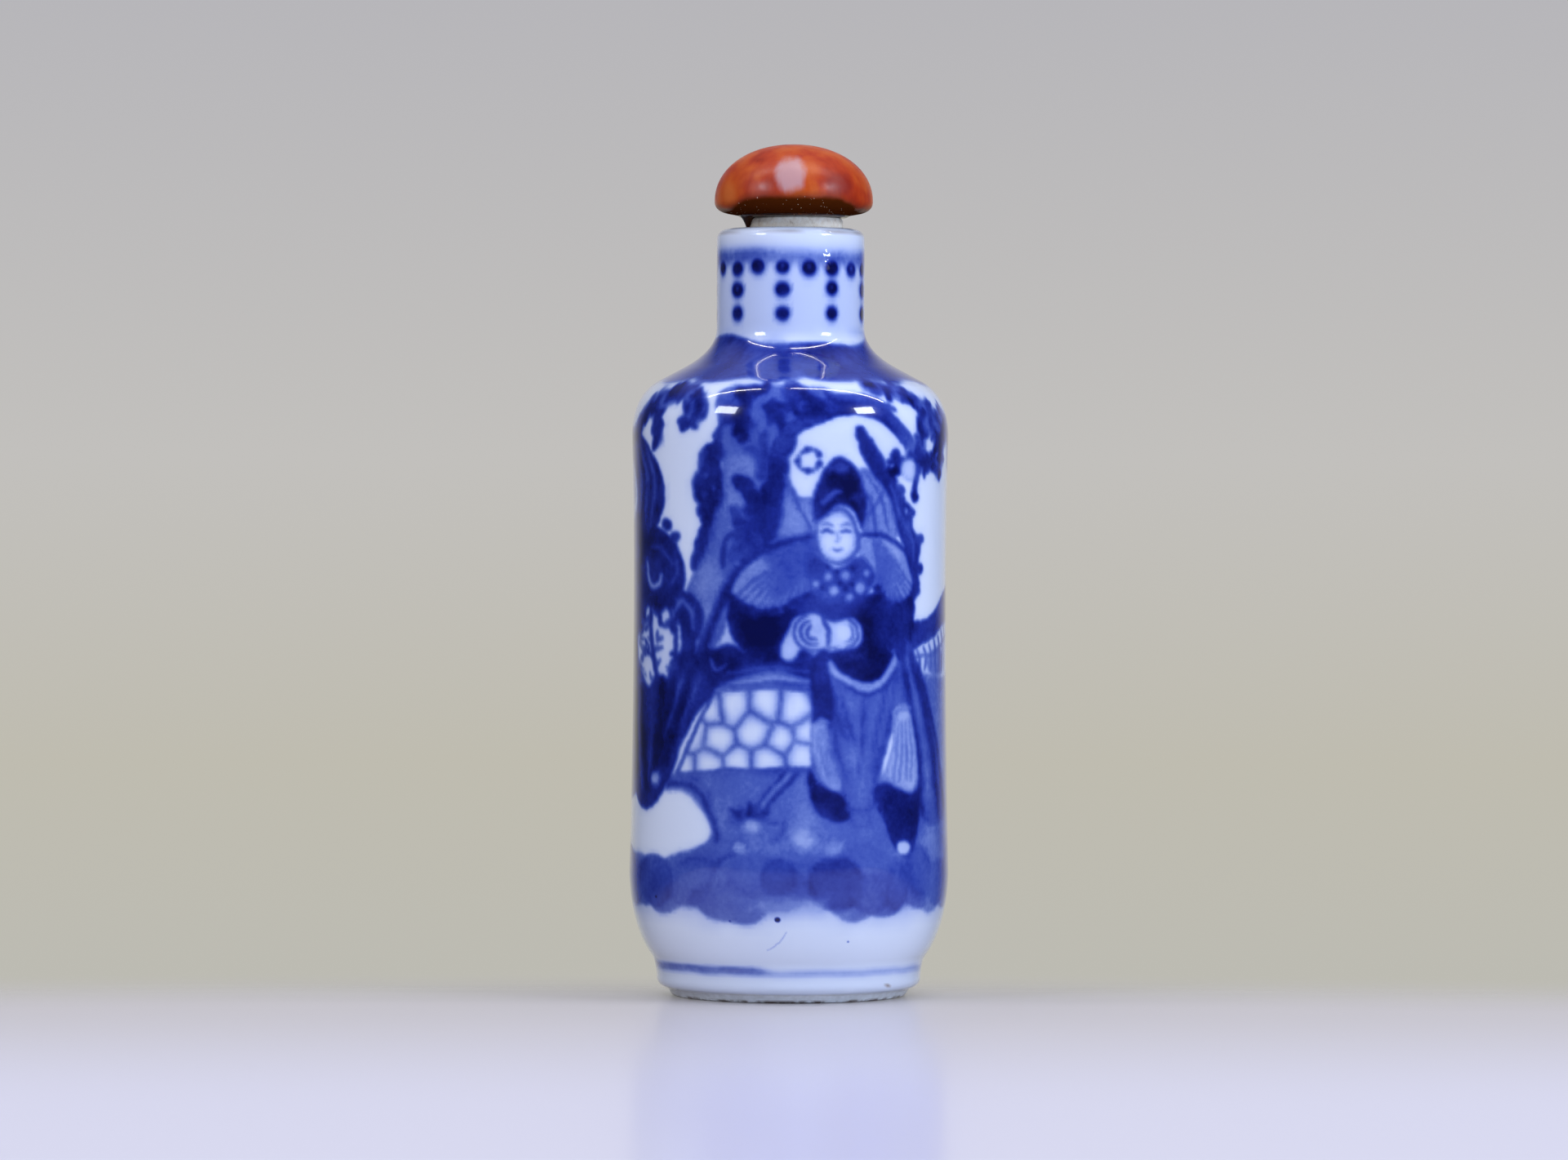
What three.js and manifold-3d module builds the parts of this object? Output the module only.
// A blue-and-white porcelain snuff bottle, closed by a domed coral stopper.
//
// The bottle is one hollow piece: a low foot, a nearly straight wall, a sloping shoulder and a narrow neck.
// The stopper is three pieces glued in a stack: a bone collar with a plug below it, a bed of dark resin that
// has run down on one side, and the coral cap. It rests on the lip, a little aside from the bottle's axis.
//
// Millimetres, +Z up. The origin is the centre of the foot ring, on the surface that the bottle stands on.

import * as THREE from "three";
import { mergeVertices } from "three/addons/utils/BufferGeometryUtils.js";
import Module from "manifold-3d";

const wasm = await Module();
wasm.setup();

// ---- Driving dimensions ----

// Foot: a recessed base inside an unglazed ring, with a low band above it.
const RECESS_Z = 1.2;
const RECESS_R = 9.4;
const RING_INNER_R = 9.9;
const RING_INNER_Z = 0.4;
const RING_FLAT_R = 10.1;
const RING_OUTER_R = 11.4;
const RING_TOP_R = 11.9;
const RING_TOP_Z = 0.75;
const GLAZE_EDGE_R = 12.2;
const GLAZE_EDGE_Z = 0.85;
const BAND_BOTTOM_R = 12.95;
const BAND_BOTTOM_Z = 1.75;
const BAND_TOP_R = 13.4;
const BAND_TOP_Z = 3.9;

// Wall: widest low down, slightly waisted, and widening again below the shoulder.
const CURVE_IN_R = 15.55;
const CURVE_IN_Z = 7;
const BELLY_R = 15.65;
const BELLY_Z = 12;
const WAIST_LOW_R = 15.3;
const WAIST_LOW_Z = 25;
const WAIST_R = 15.15;
const WAIST_Z = 45;
const SHOULDER_R = 15.5;
const SHOULDER_Z = 54.6;

// Shoulder: it turns over, slopes up to the neck and sweeps into it.
const SLOPE_OUTER_R = 12.9;
const SLOPE_OUTER_Z = 60.1;
const SLOPE_INNER_R = 10.3;
const SLOPE_INNER_Z = 61.5;
const NECK_R = 7.25;
const NECK_BOTTOM_Z = 65.3;

// Lip: flat on top, rounded outside and inside.
const LIP_Z = 75;
const LIP_ROUND = 1.15;
const MOUTH_R = 3.7;
const MOUTH_ROUND = 0.35;

// Inside: the walls follow the outside, with a rounded floor and a shoulder that closes in to the neck.
const INSIDE_R = 12.8;
const FLOOR_Z = 3.8;
const FLOOR_CORNER = 4.5;
const INSIDE_SHOULDER_Z = 52.2;
const INSIDE_TURN_Z = 58.8;
const INSIDE_SLOPE_R = 6.8;
const INSIDE_SLOPE_Z = 59.7;
const INSIDE_FLARE_Z = 60.4;
const NECK_INSIDE_Z = 63;

// Stopper, from the lip up.
const COLLAR_SHIFT = 0.5;
const COLLAR_R = 4.6;
const COLLAR_EDGE_R = 4.5;
const COLLAR_TOP_R = 4.25;
const COLLAR_H = 1.1;
const COLLAR_ROUND = 0.35;
const PLUG_R = 3.1;
const PLUG_H = 7;
const PLUG_CHAMFER = 0.5;

const CAP_SHIFT = 0.28;
const CAP_R = 7.75;
const CAP_WIDEST_Z = 77.7;
const CAP_TOP_Z = 83.3;
const CAP_FLAT_R = 5.2;
const CAP_FLAT_Z = 76.3;
const CAP_UNDER_R = 6.8;
const CAP_UNDER_Z = 76.6;
const CAP_EDGE_Z = 76.95;
const DOME_POWER = 2.1;

const RESIN_R = 5.25;
const RESIN_SKIRT_R = 6.1;
const RESIN_GAP = 0.05;
const DRIP_X = -4.2;
const DRIP_Y = -1.1;
const DRIP_LEAN = -0.15;
const DRIP_TOP_R = 0.9;
const DRIP_TIP_R = 0.18;

// How finely round things are faceted.
const BOTTLE_SIDES = 60;
const CAP_SIDES = 48;
const SMALL_SIDES = 32;
const CURVE_STEPS = 4;
const DOME_STEPS = 14;

// ---- Tools ----

// Turns an outline of (radius, height) about the Z axis.
function turned(outline, sides) {
  return new THREE.LatheGeometry(outline, sides).rotateX(Math.PI / 2);
}

function point(r, z) {
  return new THREE.Vector2(r, z);
}

// A closed geometry as a solid that can be joined and cut.
function solid(geometry) {
  const bare = geometry.clone();
  bare.deleteAttribute("normal");
  bare.deleteAttribute("uv");
  const merged = mergeVertices(bare, 1e-4);
  return new wasm.Manifold(
    new wasm.Mesh({
      numProp: 3,
      vertProperties: merged.getAttribute("position").array,
      triVerts: new Uint32Array(merged.index.array),
    }),
  );
}

function geometryOf(made) {
  const mesh = made.getMesh();
  return new THREE.BufferGeometry()
    .setAttribute("position", new THREE.BufferAttribute(mesh.vertProperties, 3))
    .setIndex(new THREE.BufferAttribute(mesh.triVerts, 1));
}

// ---- Bottle ----

function footOutline(path) {
  path.moveTo(0, RECESS_Z);
  path.lineTo(RECESS_R, RECESS_Z);
  path.lineTo(RING_INNER_R, RING_INNER_Z);
  path.lineTo(RING_FLAT_R, 0);
  path.lineTo(RING_OUTER_R, 0);
  path.lineTo(RING_TOP_R, RING_TOP_Z);
  path.lineTo(GLAZE_EDGE_R, GLAZE_EDGE_Z);
  path.lineTo(BAND_BOTTOM_R, BAND_BOTTOM_Z);
  path.lineTo(BAND_TOP_R, BAND_TOP_Z);
}

function wallOutline(path) {
  path.quadraticCurveTo(CURVE_IN_R, CURVE_IN_Z, BELLY_R, BELLY_Z);
  path.bezierCurveTo(WAIST_LOW_R, WAIST_LOW_Z, WAIST_R, WAIST_Z, SHOULDER_R, SHOULDER_Z);
}

function shoulderOutline(path) {
  const slope = (SLOPE_INNER_Z - SLOPE_OUTER_Z) / (SLOPE_OUTER_R - SLOPE_INNER_R);
  const turnZ = SLOPE_OUTER_Z - slope * (SHOULDER_R - SLOPE_OUTER_R);
  const sweepZ = SLOPE_INNER_Z + slope * (SLOPE_INNER_R - NECK_R);
  path.quadraticCurveTo(SHOULDER_R, turnZ, SLOPE_OUTER_R, SLOPE_OUTER_Z);
  path.lineTo(SLOPE_INNER_R, SLOPE_INNER_Z);
  path.quadraticCurveTo(NECK_R, sweepZ, NECK_R, NECK_BOTTOM_Z);
}

function lipOutline(path) {
  const lipR = NECK_R - LIP_ROUND;
  const mouthR = MOUTH_R + MOUTH_ROUND;
  path.lineTo(NECK_R, LIP_Z - LIP_ROUND);
  path.quadraticCurveTo(NECK_R, LIP_Z, lipR, LIP_Z);
  path.lineTo(mouthR, LIP_Z);
  path.quadraticCurveTo(MOUTH_R, LIP_Z, MOUTH_R, LIP_Z - MOUTH_ROUND);
}

function insideOutline(path) {
  path.lineTo(MOUTH_R, NECK_INSIDE_Z);
  path.quadraticCurveTo(MOUTH_R, INSIDE_FLARE_Z, INSIDE_SLOPE_R, INSIDE_SLOPE_Z);
  path.quadraticCurveTo(INSIDE_R, INSIDE_TURN_Z, INSIDE_R, INSIDE_SHOULDER_Z);
  path.lineTo(INSIDE_R, FLOOR_Z + FLOOR_CORNER);
  path.quadraticCurveTo(INSIDE_R, FLOOR_Z, INSIDE_R - FLOOR_CORNER, FLOOR_Z);
  path.lineTo(0, FLOOR_Z);
}

function bottle() {
  const path = new THREE.Path();
  footOutline(path);
  wallOutline(path);
  shoulderOutline(path);
  lipOutline(path);
  insideOutline(path);
  return turned(path.getPoints(CURVE_STEPS), BOTTLE_SIDES);
}

// ---- Stopper ----

// The collar and its plug are turned from one piece of bone.
function collar() {
  const top = LIP_Z + COLLAR_H;
  const path = new THREE.Path();
  path.moveTo(0, LIP_Z - PLUG_H);
  path.lineTo(PLUG_R - PLUG_CHAMFER, LIP_Z - PLUG_H);
  path.lineTo(PLUG_R, LIP_Z - PLUG_H + PLUG_CHAMFER);
  path.lineTo(PLUG_R, LIP_Z);
  path.lineTo(COLLAR_R, LIP_Z);
  path.lineTo(COLLAR_EDGE_R, top - COLLAR_ROUND);
  path.quadraticCurveTo(COLLAR_EDGE_R, top, COLLAR_TOP_R, top);
  path.lineTo(0, top);
  return turned(path.getPoints(CURVE_STEPS), SMALL_SIDES).translate(COLLAR_SHIFT, 0, 0);
}

// The resin lies between the collar and the cap, squeezed out under the cap as a thin skirt.
function resinBed() {
  const bottom = LIP_Z + COLLAR_H;
  const path = new THREE.Path();
  path.moveTo(0, bottom);
  path.lineTo(COLLAR_TOP_R, bottom);
  path.quadraticCurveTo(RESIN_R, bottom - RESIN_GAP, RESIN_SKIRT_R, CAP_FLAT_Z);
  path.lineTo(CAP_FLAT_R, CAP_FLAT_Z - RESIN_GAP);
  path.lineTo(CAP_FLAT_R - RESIN_GAP, CAP_FLAT_Z);
  path.lineTo(0, CAP_FLAT_Z);
  return turned(path.getPoints(CURVE_STEPS), SMALL_SIDES).translate(CAP_SHIFT, 0, 0);
}

// The run of resin beside the collar: thick where it leaves the bed, and a blunt tip on the lip.
function resinDrip() {
  const tipZ = LIP_Z + RESIN_GAP;
  const topZ = (LIP_Z + COLLAR_H + CAP_FLAT_Z) / 2;
  const path = new THREE.Path();
  path.moveTo(0, tipZ);
  path.lineTo(DRIP_TIP_R, tipZ);
  path.quadraticCurveTo(DRIP_TOP_R / 2, topZ - COLLAR_H / 2, DRIP_TOP_R, topZ);
  path.lineTo(0, topZ);
  const drip = turned(path.getPoints(CURVE_STEPS), SMALL_SIDES / 2);
  const lean = new THREE.Matrix4().makeShear(0, 0, 0, 0, -DRIP_LEAN, 0);
  return drip
    .translate(0, 0, -tipZ)
    .applyMatrix4(lean)
    .translate(DRIP_X, DRIP_Y, tipZ);
}

function resin(collarGeometry) {
  const clear = 1 + (2 * RESIN_GAP) / COLLAR_R;
  const room = collarGeometry.clone().translate(-COLLAR_SHIFT, 0, 0).scale(clear, clear, 1);
  const bed = solid(resinBed());
  const drip = solid(resinDrip()).subtract(solid(room.translate(COLLAR_SHIFT, 0, 0)));
  return geometryOf(bed.add(drip));
}

// The cap's dome is a little flatter on top than an ellipse, and its edge curves in under it.
function cap() {
  const height = CAP_TOP_Z - CAP_WIDEST_Z;
  const under = new THREE.Path();
  under.moveTo(0, CAP_FLAT_Z);
  under.lineTo(CAP_FLAT_R, CAP_FLAT_Z);
  under.lineTo(CAP_UNDER_R, CAP_UNDER_Z);
  under.quadraticCurveTo(CAP_R, CAP_EDGE_Z, CAP_R, CAP_WIDEST_Z);
  const outline = under.getPoints(CURVE_STEPS);
  for (let i = 1; i <= DOME_STEPS; i++) {
    const rise = Math.sin((i / DOME_STEPS) * (Math.PI / 2));
    const reach = i === DOME_STEPS ? 0 : Math.pow(1 - Math.pow(rise, DOME_POWER), 1 / DOME_POWER);
    outline.push(point(CAP_R * reach, CAP_WIDEST_Z + height * rise));
  }
  return turned(outline, CAP_SIDES).translate(CAP_SHIFT, 0, 0);
}

// ---- The object ----

const PORCELAIN = new THREE.MeshStandardMaterial({ color: 0xc3d2f2, roughness: 0.08, metalness: 0 });
const BONE = new THREE.MeshStandardMaterial({ color: 0xcfc8bd, roughness: 0.65, metalness: 0 });
const RESIN = new THREE.MeshStandardMaterial({ color: 0x2c160a, roughness: 0.12, metalness: 0 });
const CORAL = new THREE.MeshStandardMaterial({ color: 0xb84a22, roughness: 0.2, metalness: 0 });

function piece(name, geometry, material) {
  const mesh = new THREE.Mesh(geometry, material);
  mesh.name = name;
  return mesh;
}

const collarGeometry = collar();
const snuffBottle = new THREE.Group();
snuffBottle.add(piece("bottle", bottle(), PORCELAIN));
snuffBottle.add(piece("stopper_collar", collarGeometry, BONE));
snuffBottle.add(piece("stopper_resin", resin(collarGeometry), RESIN));
snuffBottle.add(piece("stopper_cap", cap(), CORAL));

export default snuffBottle;
